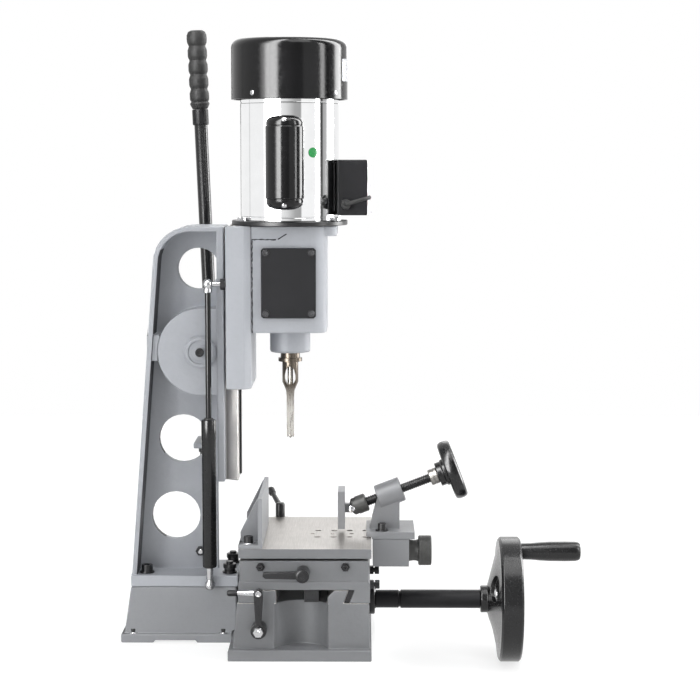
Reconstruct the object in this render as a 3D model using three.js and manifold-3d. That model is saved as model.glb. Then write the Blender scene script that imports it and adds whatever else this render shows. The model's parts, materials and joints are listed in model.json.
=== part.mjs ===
// Bench hollow-chisel mortiser with a cross table, a gas strut and a work clamp.
// Millimetres, +Z up. The origin is the chisel axis dropped onto the bench plane.
// +X is the side the operator stands on, +Y is the operator's right hand.
import * as THREE from 'three';
import { mergeVertices } from 'three/addons/utils/BufferGeometryUtils.js';
import Module from 'manifold-3d';

const wasm = await Module();
wasm.setup();

const group = new THREE.Group();
const AXIS = {
  x: [new THREE.Vector3(0, 1, 0), new THREE.Vector3(1, 0, 0), new THREE.Vector3(0, 0, -1)],
  y: [new THREE.Vector3(1, 0, 0), new THREE.Vector3(0, 1, 0), new THREE.Vector3(0, 0, 1)],
  z: [new THREE.Vector3(1, 0, 0), new THREE.Vector3(0, 0, 1), new THREE.Vector3(0, -1, 0)],
};

// A closed manifold body from a three geometry; zero-area faces on the axis are left out.
function solid(source) {
  const g = source.clone();
  g.deleteAttribute('normal');
  g.deleteAttribute('uv');
  const m = mergeVertices(g, 1e-4);
  const index = m.index.array;
  const kept = [];
  for (let i = 0; i < index.length; i += 3) {
    const [a, b, c] = [index[i], index[i + 1], index[i + 2]];
    if (a !== b && b !== c && c !== a) kept.push(a, b, c);
  }
  const mesh = new wasm.Mesh({
    numProp: 3,
    vertProperties: new Float32Array(m.attributes.position.array),
    triVerts: new Uint32Array(kept),
  });
  return new wasm.Manifold(mesh);
}

function toGeometry(body) {
  const r = body.getMesh();
  const g = new THREE.BufferGeometry();
  g.setAttribute('position', new THREE.BufferAttribute(new Float32Array(r.vertProperties), 3));
  g.setIndex(new THREE.BufferAttribute(new Uint32Array(r.triVerts), 1));
  g.computeVertexNormals();
  return g;
}

function add(name, body) {
  const mesh = new THREE.Mesh(toGeometry(body), new THREE.MeshStandardMaterial());
  mesh.name = name;
  group.add(mesh);
}

function join(...bodies) {
  return bodies.reduce((a, b) => a.add(b));
}

function cut(body, ...tools) {
  return tools.reduce((a, b) => a.subtract(b), body);
}

function basis(ex, ey, ez, at) {
  return new THREE.Matrix4().makeBasis(ex, ey, ez).setPosition(at[0], at[1], at[2]);
}

function box(x0, x1, y0, y1, z0, z1) {
  const g = new THREE.BoxGeometry(x1 - x0, y1 - y0, z1 - z0);
  g.translate((x0 + x1) / 2, (y0 + y1) / 2, (z0 + z1) / 2);
  return solid(g);
}

// A box whose lower and upper rectangles differ: each is [x0, x1, y0, y1].
function taper(z0, low, z1, high) {
  const g = new THREE.BoxGeometry(1, 1, 1);
  const p = g.attributes.position;
  for (let i = 0; i < p.count; i += 1) {
    const ring = p.getZ(i) < 0 ? low : high;
    const x = p.getX(i) < 0 ? ring[0] : ring[1];
    const y = p.getY(i) < 0 ? ring[2] : ring[3];
    p.setXYZ(i, x, y, p.getZ(i) < 0 ? z0 : z1);
  }
  return solid(g);
}

function extrude(points, depth) {
  const shape = new THREE.Shape(points.map(([u, v]) => new THREE.Vector2(u, v)));
  return new THREE.ExtrudeGeometry(shape, { depth, bevelEnabled: false });
}

function prismX(points, x0, x1) {
  const ex = new THREE.Vector3(0, 1, 0);
  const ey = new THREE.Vector3(0, 0, 1);
  const ez = new THREE.Vector3(1, 0, 0);
  return solid(extrude(points, x1 - x0).applyMatrix4(basis(ex, ey, ez, [x0, 0, 0])));
}

function prismY(points, y0, y1) {
  const ex = new THREE.Vector3(1, 0, 0);
  const ey = new THREE.Vector3(0, 0, 1);
  const ez = new THREE.Vector3(0, -1, 0);
  return solid(extrude(points, y1 - y0).applyMatrix4(basis(ex, ey, ez, [0, y1, 0])));
}

function prismZ(points, z0, z1) {
  return solid(extrude(points, z1 - z0).translate(0, 0, z0));
}

// Turned shape: the profile is a list of [radius, height], counter-clockwise after the check.
function turned(profile, segments) {
  let area = 0;
  for (let i = 0; i < profile.length; i += 1) {
    const [r0, h0] = profile[i];
    const [r1, h1] = profile[(i + 1) % profile.length];
    area += r0 * h1 - r1 * h0;
  }
  const ordered = area < 0 ? [...profile].reverse() : profile;
  return new THREE.LatheGeometry(ordered.map(([r, h]) => new THREE.Vector2(r, h)), segments);
}

function revolve(profile, axis, at, segments = 24) {
  const [ex, ey, ez] = AXIS[axis];
  return solid(turned(profile, segments).applyMatrix4(basis(ex, ey, ez, at)));
}

function rod(radius, h0, h1, axis, at, segments = 24) {
  return revolve([[0, h0], [radius, h0], [radius, h1], [0, h1]], axis, at, segments);
}

// Turned shape about any direction, heights measured from the given point.
function revolveAlong(profile, direction, at, segments = 24) {
  const side = new THREE.Vector3(0, 1, 0);
  const third = new THREE.Vector3().crossVectors(side, direction).normalize();
  return solid(turned(profile, segments).applyMatrix4(basis(side, direction, third, at)));
}

function rodAlong(radius, h0, h1, direction, at, segments = 24) {
  return revolveAlong([[0, h0], [radius, h0], [radius, h1], [0, h1]], direction, at, segments);
}

function arc(cx, cy, radius, from, to, steps) {
  const out = [];
  for (let i = 0; i <= steps; i += 1) {
    const a = THREE.MathUtils.degToRad(from + ((to - from) * i) / steps);
    out.push([cx + radius * Math.cos(a), cy + radius * Math.sin(a)]);
  }
  return out;
}

// ---- rack and pinion ------------------------------------------------------------------------
const TOOTH_SHARE = 0.455;
const FLANK = Math.tan(THREE.MathUtils.degToRad(20));
const ADDENDUM = 0.8;
const DEDENDUM = 1.05;

function gearOutline(teeth, pitchRadius, pitchPointDegrees) {
  const module = (2 * pitchRadius) / teeth;
  const tip = pitchRadius + ADDENDUM * module;
  const root = pitchRadius - DEDENDUM * module;
  const half = (TOOTH_SHARE * Math.PI) / teeth;
  const slim = half - (ADDENDUM * module * FLANK) / pitchRadius;
  const wide = half + (DEDENDUM * module * FLANK) / pitchRadius;
  const start = THREE.MathUtils.degToRad(pitchPointDegrees);
  const out = [];
  for (let k = 0; k < teeth; k += 1) {
    const a = start + ((k + 0.5) * 2 * Math.PI) / teeth;
    const corners = [[root, -wide], [tip, -slim], [tip, slim], [root, wide]];
    corners.forEach(([r, d]) => out.push([r * Math.cos(a + d), r * Math.sin(a + d)]));
  }
  return out;
}

// Rack outline: u runs along the rack from u0 to u1, v is the height above the pitch line.
// A tooth is centred on u = 0 and points to -v.
function rackOutline(module, u0, u1, back) {
  const pitch = Math.PI * module;
  const half = (TOOTH_SHARE * pitch) / 2;
  const slim = half - ADDENDUM * module * FLANK;
  const wide = half + DEDENDUM * module * FLANK;
  const out = [[u0, DEDENDUM * module]];
  const first = Math.ceil((u0 + wide + 0.2) / pitch);
  const last = Math.floor((u1 - wide - 0.2) / pitch);
  for (let k = first; k <= last; k += 1) {
    const c = k * pitch;
    out.push([c - wide, DEDENDUM * module], [c - slim, -ADDENDUM * module]);
    out.push([c + slim, -ADDENDUM * module], [c + wide, DEDENDUM * module]);
  }
  out.push([u1, DEDENDUM * module], [u1, back], [u0, back]);
  return out;
}

// ---- base -----------------------------------------------------------------------------------
const BASE_TOP = 78.7;
const BOLT_X = [-204, -86];
const BOLT_Y = 35;
const BOLT_HOLE = 5.6;

const bolts = [];
BOLT_X.forEach((x) => [-BOLT_Y, BOLT_Y].forEach((y) => bolts.push([x, y])));
const footHoles = bolts.map(([x, y]) => rod(BOLT_HOLE, 60, 100, 'z', [x, y, 0], 12));

const baseShell = join(
  taper(0, [-236, -75, -62, 62], BASE_TOP, [-225, -75, -55, 55]),
  box(-239, -81.2, -65, 65, 0, 13),
);
add('base_casting', cut(
  baseShell,
  taper(-1, [-226, -92, -53, 53], 64, [-217, -92, -45, 45]),
  box(-192, -132, -80, 80, -1, 3.5),
  box(-81.2, -70, -80, 80, -1, 16.6),
  ...footHoles,
));

// ---- bed with its long dovetail --------------------------------------------------------------
const SHAFT_Z = 49.3;
const CHANNEL_FLOOR = 78;
const bedOutline = [
  [-74.6, 8], [113.9, 8], [112.4, 79], [78, 79], [85, 97], [65, 97], [56, 88],
  [56, CHANNEL_FLOOR], [-14, CHANNEL_FLOOR], [-14, 97], [-41, 97], [-34, 79], [-67.7, 79],
];
const bedFlange = [
  [-80.6, 0], [116.3, 0], [116.3, 14], [114.5, 16], [-79, 16], [-80.6, 14],
];
add('bed_casting', cut(
  join(prismY(bedOutline, -156, 156), prismY(bedFlange, -165, 165)),
  rod(38, 16, 78.5, 'z', [20, -165, 0], 40),
  rod(38, 16, 78.5, 'z', [20, 165, 0], 40),
  box(20, 50, -37, 37, 13, 79),
  rod(10.5, 6, 120, 'x', [0, 0, SHAFT_Z], 24),
));

// ---- column ---------------------------------------------------------------------------------
const PIVOT = [-125, 0, 413];
const PINION_RADIUS = 48;
const maleHalf = (x) => 30 + ((x + 91) * 11) / 19;
const rearOuter = [...arc(-138.6, 537.6, 51.4, 90, 180, 7), [-224, 94]];
const rearInner = [[-217, 94], ...arc(-138.6, 537.6, 44.4, 180, 90, 7)];
const WAY_FOOT = 229;
// The dovetail ends below the motor flange at the bottom of the head's travel.
const WAY_TOP = 489;
const webOutline = [
  [-104, 94], [-104, WAY_FOOT + 0.5], [-100, WAY_FOOT + 0.5], [-100, 589], ...rearOuter,
];
const rimOutline = [[-100, 589], ...rearOuter, ...rearInner, [-100, 582]];
const wayOutline = [[-92, -maleHalf(-92)], [-72, -41], [-72, 41], [-92, maleHalf(-92)]];
const WEB_HOLES = [[-129.6, 528.4, 29.2], [-153.1, 284.6, 34.5], [-164.6, 172.9, 34.5]];

const columnBody = join(
  prismY(webOutline, -6, 6),
  prismY(rimOutline, -50, 50),
  box(-101, -91, -50, 50, WAY_FOOT, 589),
  prismZ(wayOutline, WAY_FOOT, WAY_TOP),
  box(-225, -73, -55, 55, 79, 95),
  cut(rod(61.5, -45, 45, 'y', [-124, 0, 413], 32), box(-96, -50, -60, 60, 340, 490)),
  box(-124, -96, -45, 45, 351.5, 474.5),
  box(-200, -176, -44, 44, 400, 437),
);
const stopLug = box(-140, -95, 4, 76, 268, 276);
const webHoles = WEB_HOLES.map(([x, z, r]) => rod(r, -7, 7, 'y', [x, 0, z], 28));
const columnCut = cut(
  columnBody,
  ...webHoles,
  rod(52.5, -10, 10, 'y', PIVOT, 28),
  rod(14.3, -60, 60, 'y', PIVOT, 24),
  box(-82, -70, -10, 10, 200, 600),
  ...footHoles,
);
add('column_casting', cut(join(columnCut, stopLug), rod(6.5, 260, 290, 'z', [-127, 66, 0], 16)));

const boltProfile = [[0, 66], [5.2, 66], [5.2, 95.4], [10.5, 95.4], [10.5, 97.6], [8, 97.6]];
const rearHead = [[8, 107], [4.2, 107], [4.2, 102], [0, 102]];
const frontHead = [[8, 102], [9.5, 102.4], [9.5, 108.5], [5, 109], [5, 112], [0, 112]];
bolts.forEach(([x, y], i) => {
  const head = x < -150 ? rearHead : frontHead;
  add(`column_bolt_${i + 1}`, revolve([...boltProfile, ...head], 'z', [x, y, 0], 12));
});

add('way_strip', box(-71.7, -69, -20, -12, 236, WAY_TOP - 1));

const capProfile = [[0, -45.4], [23, -45.4], [23, -49], [20, -52.5], [17, -52.5], [16, -50], [0, -50]];
add('pinion_end_cap', revolve(capProfile, 'y', PIVOT, 20));

// ---- gas strut ------------------------------------------------------------------------------
const STRUT = [-112, -66, 0];
const tubeProfile = [
  [0, 109.3], [9, 109.3], [10, 111], [10, 291], [10.5, 293], [10.5, 318.5], [9.4, 320],
  [4.6, 320], [4.6, 115], [0, 115],
];
add('strut_tube', revolve(tubeProfile, 'z', STRUT, 20));
const lowerFitting = [[0, 76.5], ...arc(0, 84, 7.5, -60, 50, 5), [4.2, 91.5], [5, 93], [5, 109], [0, 109]];
add('strut_lower_end', join(
  revolve(lowerFitting, 'z', STRUT, 16),
  rod(4, -66, -55.4, 'y', [-112, 0, 84], 12),
));
add('strut_rod', rod(4.1, 225, 498, 'z', STRUT, 16));
const upperFitting = [[0, 498.3], [6.2, 498.3], [6.2, 503.5], ...arc(0, 509.8, 7.5, -45, 60, 5), [0, 517.3]];
add('strut_upper_end', join(
  revolve(upperFitting, 'z', STRUT, 16),
  rod(3.6, -112, -87.4, 'x', [0, -66, 509.8], 12),
  rod(8, -94.5, -87.4, 'x', [0, -66, 509.8], 6),
));

// ---- head -----------------------------------------------------------------------------------
const slideOutline = [[-87, -72], [-61, -72], [-52, -61], [-52, 61], [-61, 72], [-87, 72]];
const boxOutline = [
  [-54, -60], ...arc(35, -42, 18, -90, 0, 6), ...arc(35, 42, 18, 0, 90, 6), [-54, 60],
];
const lugOutline = [[40, -50], ...arc(57.7, -40, 10, -90, 0, 4), ...arc(57.7, 40, 10, 0, 90, 4), [40, 50]];
const FLANK_GAP = 0.4;
const GIB_ROOM = 7.4;
const femaleOutline = [
  [-88, -maleHalf(-88) - FLANK_GAP], [-71.6, -maleHalf(-71.6) - FLANK_GAP],
  [-71.6, maleHalf(-71.6) + GIB_ROOM], [-88, maleHalf(-88) + GIB_ROOM],
];
const chinProfile = [[0, 409], [27.3, 409], [28.8, 411], [28.8, 445], [0, 445]];
const STOP_AXIS = [-127, 66, 0];
const headBody = join(
  prismZ(slideOutline, 363, 590),
  prismZ(boxOutline, 441, 590),
  prismZ(lugOutline, 576, 590),
  revolve(chinProfile, 'z', [0, 0, 0], 36),
  box(-135, -86, 56, 76, 384, 396),
);
add('head_casting', cut(
  headBody,
  prismZ(femaleOutline, 362, 591),
  box(-73, -62, -9, 9, 362, 591),
  box(-73, -68.4, -21, -9.5, 362, 591),
  box(-30, 30, -61, 61, 470, 552),
  rod(9.5, 408, 471, 'z', [0, 0, 0], 24),
  rod(22, 551, 591, 'z', [0, 0, 0], 28),
  rod(6.4, 380, 400, 'z', STOP_AXIS, 16),
));
const gibOutline = [
  [-86.8, maleHalf(-86.8) + 0.35], [-72, maleHalf(-72) + 0.35],
  [-72, maleHalf(-72) + 7], [-86.8, maleHalf(-86.8) + 7],
];
add('head_gib', prismZ(gibOutline, 364, 589));

const FEED_MODULE = 3;
const feedRack = rackOutline(FEED_MODULE, -47.5, 172, 14.7)
  .map(([u, v]) => [PIVOT[0] + PINION_RADIUS + v, PIVOT[2] + u]);
add('feed_rack', prismY(feedRack, -8, 8));

const coverOutline = [
  [-35, 462], [35.5, 462], [38.5, 465], [38.5, 557], [35.5, 560], [-35, 560], [-38, 557], [-38, 465],
];
add('access_cover_near', prismY(coverOutline, -64.3, -60.3));
add('access_cover_far', prismY(coverOutline, 60.3, 64.3));

// ---- hollow chisel --------------------------------------------------------------------------
const chiselProfile = [
  [0, 352], [5.6, 352], [11.5, 366], [11.5, 395.5], [17, 395.5], [17, 400.8], [13.7, 400.8],
  [13.7, 408.6], [9.1, 408.6], [9.1, 440], [0, 440],
];
const chiselWindow = [
  [-4.5, 363], [4.5, 363], [7.6, 369], [7.6, 376], [5.6, 384], [2, 389],
  [-2, 389], [-5.6, 384], [-7.6, 376], [-7.6, 369],
];
add('mortise_chisel', cut(
  join(
    revolve(chiselProfile, 'z', [0, 0, 0], 20),
    box(-5.25, 5.25, -5.25, 5.25, 286.8, 353),
    taper(345, [-5.25, 5.25, -5.25, 5.25], 358, [-6.2, 6.2, -6.2, 6.2]),
  ),
  rod(4.5, 280, 450, 'z', [0, 0, 0], 16),
  prismY(chiselWindow, -13, 13),
  prismY([[-3.6, 286], [3.6, 286], [0, 292]], -6, 6),
));

// ---- motor ----------------------------------------------------------------------------------
const CENTRE = [0, 0, 0];
const flangeProfile = [[12, 590.3], [82, 590.3], [82, 597], [12, 597], [12, 590.3]];
add('motor_flange', revolve(flangeProfile, 'z', CENTRE, 36));
const bodyProfile = [
  [64, 597.3], [69.8, 597.3], [69.8, 765.7], [12, 765.7], [12, 756], [64, 756], [64, 597.3],
];
add('motor_body', revolve(bodyProfile, 'z', CENTRE, 36));
const statorProfile = [[32, 640], [63.6, 640], [63.6, 728], [32, 728], [32, 640]];
add('stator', revolve(statorProfile, 'z', CENTRE, 28));
const hoodProfile = [
  [0, 846.5], [70, 846.5], [78.6, 838], [78.6, 766], [82, 766],
  ...arc(70, 838, 12, 0, 90, 4), [0, 850],
];
add('fan_cover', revolve(hoodProfile, 'z', CENTRE, 36));
const motorClear = rod(70.4, 590, 770, 'z', CENTRE, 36);
const capacitorProfile = [
  [0, 614], [12, 614], [20, 616.5], [25, 620.5], [26, 628], [26.6, 629.5], [26.6, 728],
  [26, 729.5], [25, 737], [20, 740.5], [12, 742.6], [0, 742.6],
];
add('capacitor_cover', cut(revolve(capacitorProfile, 'z', [-3, -94, 0], 24), motorClear));
add('switch_box', cut(
  join(box(67.5, 110, -40, 40, 604.6, 682), box(58, 69, -26, 26, 609, 678)),
  motorClear,
  box(74, 111, -36.5, 36.5, 608, 678.5),
));
const BUTTON_HOLE = 9.4;
const START = [0, 0, 660];
const STOP = [0, 0, 627];
add('switch_cover', cut(
  box(110.3, 115, -40, 40, 604.6, 682),
  rod(BUTTON_HOLE, 109, 116, 'x', START, 24),
  rod(BUTTON_HOLE, 109, 116, 'x', STOP, 24),
));
const buttonProfile = [[0, 106], [9, 106], [9, 114.9], [8.5, 115.4], [0, 115.4]];
add('start_button', revolve(buttonProfile, 'x', START, 20));
add('stop_button', revolve(buttonProfile, 'x', STOP, 20));

const leadPath = new THREE.CatmullRomCurve3([
  new THREE.Vector3(80, -50, 620.5), new THREE.Vector3(81, -57, 621), new THREE.Vector3(92, -61, 624),
  new THREE.Vector3(106, -57, 628), new THREE.Vector3(112.6, -47, 629.5), new THREE.Vector3(112.7, -40.4, 630),
]);
const leadSection = new THREE.Shape(arc(0, 0, 2.7, 0, 315, 7).map(([u, v]) => new THREE.Vector2(u, v)));
const leadTube = new THREE.ExtrudeGeometry(leadSection, { steps: 12, extrudePath: leadPath });
add('switch_lead', join(solid(leadTube), rod(7, -52, -40.4, 'y', [80, 0, 620.5], 16)));

// ---- spindle --------------------------------------------------------------------------------
const rotorProfile = [
  [0, 528.4], [8, 528.4], [8, 642], [31, 642], [31, 726], [8, 726], [8, 815], [0, 815],
];
add('rotor_shaft', revolve(rotorProfile, 'z', CENTRE, 18));
const hubProfile = [[8.4, 780], [14, 780], [14, 800], [60, 800], [60, 803], [8.4, 803], [8.4, 780]];
const BLADES = 6;
const bladeBodies = [];
for (let k = 0; k < BLADES; k += 1) {
  bladeBodies.push(box(12, 66, -1.5, 1.5, 782, 801.5).rotate([0, 0, (360 * k) / BLADES]));
}
add('cooling_fan', join(revolve(hubProfile, 'z', CENTRE, 18), ...bladeBodies));
const chuckProfile = [
  [0, 492], [4.4, 492], [4.4, 476], [9, 476], [17.5, 488], [17.5, 526], [15, 528], [0, 528],
];
add('drill_chuck', revolve(chuckProfile, 'z', CENTRE, 18));
add('auger_bit', revolve([[0, 284], [3.9, 287.5], [3.9, 491], [0, 491]], 'z', CENTRE, 12));

// ---- depth stop -----------------------------------------------------------------------------
add('depth_stop_rod', join(
  rod(6, 243.2, 397.6, 'z', STOP_AXIS, 16),
  rod(10, 376.5, 383.6, 'z', STOP_AXIS, 6),
));
const stopNutProfile = [
  [0, 240], [8, 240], [9, 241.5], [9, 254], [11, 254], [11, 266], [6.3, 266], [6.3, 242.9], [0, 242.9],
];
add('depth_stop_nut', revolve(stopNutProfile, 'z', STOP_AXIS, 12));

// ---- feed lever -----------------------------------------------------------------------------
const LEVER_Y = 150;
const LEAN = THREE.MathUtils.degToRad(2.35);
const leverAxis = new THREE.Vector3(-Math.sin(LEAN), 0, Math.cos(LEAN));
const LEVER_AT = [PIVOT[0], LEVER_Y, PIVOT[2]];
add('feed_shaft', rod(13.8, -45, 160, 'y', PIVOT, 24));
const feedGear = gearOutline(32, PINION_RADIUS, 0).map(([u, v]) => [PIVOT[0] + u, PIVOT[2] + v]);
add('feed_pinion', cut(prismY(feedGear, -8, 8), rod(14.1, -9, 9, 'y', PIVOT, 24)));
const leverProfile = [[0, 10], [9.8, 10], [9.8, 321], [11.5, 326], [11.5, 343.5], [0, 343.5]];
add('feed_lever', cut(
  join(rod(23, 137.5, 162.5, 'y', PIVOT, 28), revolveAlong(leverProfile, leverAxis, LEVER_AT, 20)),
  rod(14.1, 130, 170, 'y', PIVOT, 24),
));
const gripProfile = [[0, 344], [12, 344], [13, 346]];
const GRIP_PITCH = 22;
for (let k = 0; k < 4; k += 1) {
  const h = 348 + GRIP_PITCH * k;
  gripProfile.push([14.3, h + 3], [14.3, h + GRIP_PITCH - 6], [12.2, h + GRIP_PITCH - 1]);
}
gripProfile.push([14.4, 440], [15, 447], [14, 455], [10, 459], [0, 460]);
add('lever_grip', revolveAlong(gripProfile, leverAxis, LEVER_AT, 16));

// ---- saddle ---------------------------------------------------------------------------------
const saddleOutline = [
  [-66, 79.4], [-34.5, 79.4], [-41.5, 97.4], [93, 97.4], [86, 79.4], [114, 79.4], [114, 106],
  [112, 109], [112, 137.7], [-64.5, 137.7], [-64.5, 109], [-66, 106],
];
const CROSS_Y = -38.5;
const crossHalf = (z) => 42 - ((z - 125) * 8) / 13;
const grooveOutline = [
  [CROSS_Y - crossHalf(125) - 0.4, 125], [CROSS_Y + crossHalf(125) + 0.4, 125],
  [CROSS_Y + crossHalf(139) + 0.4, 139], [CROSS_Y - crossHalf(139) - 0.4, 139],
];
add('saddle_casting', cut(
  prismY(saddleOutline, -155, 78),
  prismX(grooveOutline, -70, 118),
  box(-70, 118, -160, -153.2, 109, 140),
));
add('saddle_gib', prismY([[78.4, 79.5], [85.6, 79.5], [92.5, 97.2], [85.4, 97.2]], -154, 77));

const TRAVERSE_RADIUS = 32.5;
const TRAVERSE_TEETH = 26;
const TRAVERSE_MODULE = 2.5;
const traverseRack = rackOutline(TRAVERSE_MODULE, -154.5, 77.5, 15.3)
  .map(([u, v]) => [u, SHAFT_Z + TRAVERSE_RADIUS + v]);
add('traverse_rack', prismX(traverseRack, 24, 44));

// ---- table ----------------------------------------------------------------------------------
const tailOutline = [
  [CROSS_Y - crossHalf(125.4), 125.4], [CROSS_Y + crossHalf(125.4), 125.4],
  [CROSS_Y + crossHalf(142), 142], [CROSS_Y - crossHalf(142), 142],
];
const boltHoles = [];
[40, 63, 85, 108].forEach((x) => [-24, -70].forEach((y) => {
  boltHoles.push(rod(4.6, 120, 160, 'z', [x, y, 0], 12));
}));
const pinHoles = [33, 61, 88].map((x) => rod(3.3, 120, 160, 'z', [x, -47.6, 0], 8));
add('table_plate', cut(
  join(
    box(-66, 116, -155, 78, 141, 154.3),
    prismX(tailOutline, -62, 111),
    box(-30, -8, 70, 98, 141.5, 151),
  ),
  ...boltHoles,
  ...pinHoles,
));

const FENCE_TOP = 223.5;
const gusset = [[-64.5, 158], [-37, 158], [-37, 219], [-41, 219], [-64.5, 172]];
add('work_fence', join(
  box(-39, -33, -155, 25, 154.6, FENCE_TOP),
  box(-66, -38, -155, 25, 154.6, 160),
  prismY(gusset, -125, -119),
  prismY(gusset, 18.5, 24.5),
));

// ---- work clamp -----------------------------------------------------------------------------
const CLAMP_Y = -38;
const CLAMP_TILT = THREE.MathUtils.degToRad(21);
const clampAxis = new THREE.Vector3(Math.cos(CLAMP_TILT), 0, Math.sin(CLAMP_TILT));
const PIN_X = 87.7;
const PIN_Z = 190.3;
const CLAMP_AT = [PIN_X, CLAMP_Y, PIN_Z];
const footOutline = [
  [109, 154.7], [116.7, 154.7], [116.7, 151.3], [177, 151.3], [177, 161.5], [109, 161.5],
];
const uprightOutline = [[113, 160], [156, 160], [156, 212], [141, 212], [124, 205]];
add('clamp_bracket', cut(
  join(
    prismY(footOutline, -73, 17),
    prismY(uprightOutline, CLAMP_Y - 11, CLAMP_Y + 11),
    rodAlong(17.4, 40.5, 76.5, clampAxis, CLAMP_AT, 28),
  ),
  rodAlong(7.1, 30, 90, clampAxis, CLAMP_AT, 16),
));
const KNOB_Z = 128.7;
add('clamp_block', cut(
  box(118, 169, -73, 17, 112.4, 151),
  rod(8.5, 150, 170, 'x', [0, CLAMP_Y, KNOB_Z], 16),
));
const knobProfile = [
  [0, 151], [8, 151], [8, 169.4], [15.6, 169.4], [14.4, 176], [15.6, 182], [20.3, 183],
  [21.3, 184.5], [21.3, 200], [20, 201.5], [0, 201.5],
];
add('cross_feed_knob', revolve(knobProfile, 'x', [0, CLAMP_Y, KNOB_Z], 20));

const swivelProfile = [[0, -3], [6, -3], [13, 3], [13, 22], [11.5, 23.5], [0, 23.5]];
const slot = new THREE.BoxGeometry(26, 12.8, 40).applyMatrix4(
  basis(clampAxis, new THREE.Vector3(0, 1, 0), new THREE.Vector3(-clampAxis.z, 0, clampAxis.x), [0, 0, 0]),
);
slot.translate(PIN_X - 4 * clampAxis.x, CLAMP_Y, PIN_Z - 4 * clampAxis.z);
add('clamp_swivel', join(
  cut(
    revolveAlong(swivelProfile, clampAxis, CLAMP_AT, 18),
    solid(slot),
    rodAlong(7.1, 13.4, 30, clampAxis, CLAMP_AT, 16),
  ),
  rod(3.1, CLAMP_Y - 11.5, CLAMP_Y + 11.5, 'y', [PIN_X, 0, PIN_Z], 12),
));
const tongueOutline = [[75, PIN_Z - 6], [PIN_X, PIN_Z - 6], [PIN_X, PIN_Z + 6], [75, PIN_Z + 6]];
add('clamp_pad', cut(
  join(
    box(68.8, 78.6, -62, -14, 163.4, 217.2),
    prismY(tongueOutline, CLAMP_Y - 6, CLAMP_Y + 6),
    rod(6, CLAMP_Y - 6, CLAMP_Y + 6, 'y', [PIN_X, 0, PIN_Z], 20),
  ),
  rod(3.5, CLAMP_Y - 9, CLAMP_Y + 9, 'y', [PIN_X, 0, PIN_Z], 12),
));
const screwProfile = [
  [0, 14], [6.5, 14], [6.5, 119], [10, 119], [11.4, 120.5], [11.4, 130], [10, 131.4], [0, 131.4],
];
add('clamp_screw', revolveAlong(screwProfile, clampAxis, CLAMP_AT, 16));
const clampWheelProfile = [
  [0, 131.7], [17, 131.7], [17, 139], [19, 141], [19, 147.5], [30, 150.5], [34, 146], [38, 144.2],
  [41, 146], [42.4, 150], [42.4, 156], [41, 160.5], [38, 162.3], [35, 161], [32.5, 157],
  [30, 155], [12, 152.5], [10, 156], [0, 156.5],
];
const spokeGaps = [];
for (let k = 0; k < 3; k += 1) {
  const a = (2 * Math.PI * (k + 0.5)) / 3;
  const along = new THREE.Vector3(-clampAxis.z, 0, clampAxis.x);
  const at = [
    PIN_X + 25.5 * Math.cos(a) * along.x,
    CLAMP_Y + 25.5 * Math.sin(a),
    PIN_Z + 25.5 * Math.cos(a) * along.z,
  ];
  spokeGaps.push(rodAlong(5, 146, 160, clampAxis, at, 8));
}
add('clamp_handwheel', cut(revolveAlong(clampWheelProfile, clampAxis, CLAMP_AT, 28), ...spokeGaps));

// ---- traverse handwheel ---------------------------------------------------------------------
const WHEEL_AT = [0, 0, SHAFT_Z];
const plateProfile = [[10.5, 113.6], [22, 113.6], [22, 120], [20.5, 121.5], [10.5, 121.5], [10.5, 113.6]];
add('shaft_flange', revolve(plateProfile, 'x', WHEEL_AT, 20));
const shaftProfile = [
  [0, 8], [10, 8], [10, 122.2], [12.9, 122.4], [12.9, 155.5], [11.4, 156.6], [11.4, 158],
  [13.3, 159], [13.3, 273.4], [10, 273.6], [10, 294], [0, 294],
];
add('traverse_shaft', revolve(shaftProfile, 'x', WHEEL_AT, 18));
const traverseGear = gearOutline(TRAVERSE_TEETH, TRAVERSE_RADIUS, 90)
  .map(([u, v]) => [u, SHAFT_Z + v]);
add('traverse_pinion', cut(prismX(traverseGear, 26, 42), rod(10.4, 25, 43, 'x', WHEEL_AT, 24)));

const CRANK_RADIUS = 70;
const CRANK_Z = SHAFT_Z + CRANK_RADIUS;
const wheelProfile = [
  [10.4, 273.9], [18.5, 273.9], [19.5, 275], [19.5, 284], [74, 299], [86, 299.4], [89.8, 302.5],
  [89.8, 328], [87, 331], [80, 331], [77, 328], [77, 308], [71, 304.5], [24, 292], [19.5, 296],
  [10.4, 296], [10.4, 273.9],
];
const wheelGaps = [90, 210, 330].map((degrees) => {
  const a = THREE.MathUtils.degToRad(degrees + 60);
  return rod(19, 270, 320, 'x', [0, 48 * Math.cos(a), SHAFT_Z + 48 * Math.sin(a)], 16);
});
add('traverse_handwheel', join(
  cut(revolve(wheelProfile, 'x', WHEEL_AT, 36), ...wheelGaps),
  rod(13, 299.5, 331, 'x', [0, 0, CRANK_Z], 14),
  rod(5, 330, 400, 'x', [0, 0, CRANK_Z], 10),
));
const crankProfile = [
  [0, 401], [5.4, 401], [5.4, 331.4], [11, 331.4], [11.6, 334], [12, 347], [14, 372], [14.2, 398],
  [13.7, 413], [11.5, 417], [0, 417.8],
];
add('handle_grip', revolve(crankProfile, 'x', [0, 0, CRANK_Z], 16));

// ---- lock levers ----------------------------------------------------------------------------
const CROSS_LOCK = [22.4, 0, 122.7];
const crossArm = [[22.4, 117.5], [22.4, 128], [-28, 127], [-31, 125.6], [-31.6, 122], [-28, 118.6]];
add('cross_lock_lever', join(
  rod(9.5, -184, -155.4, 'y', CROSS_LOCK, 18),
  prismY(crossArm, -181, -172),
));

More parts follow.
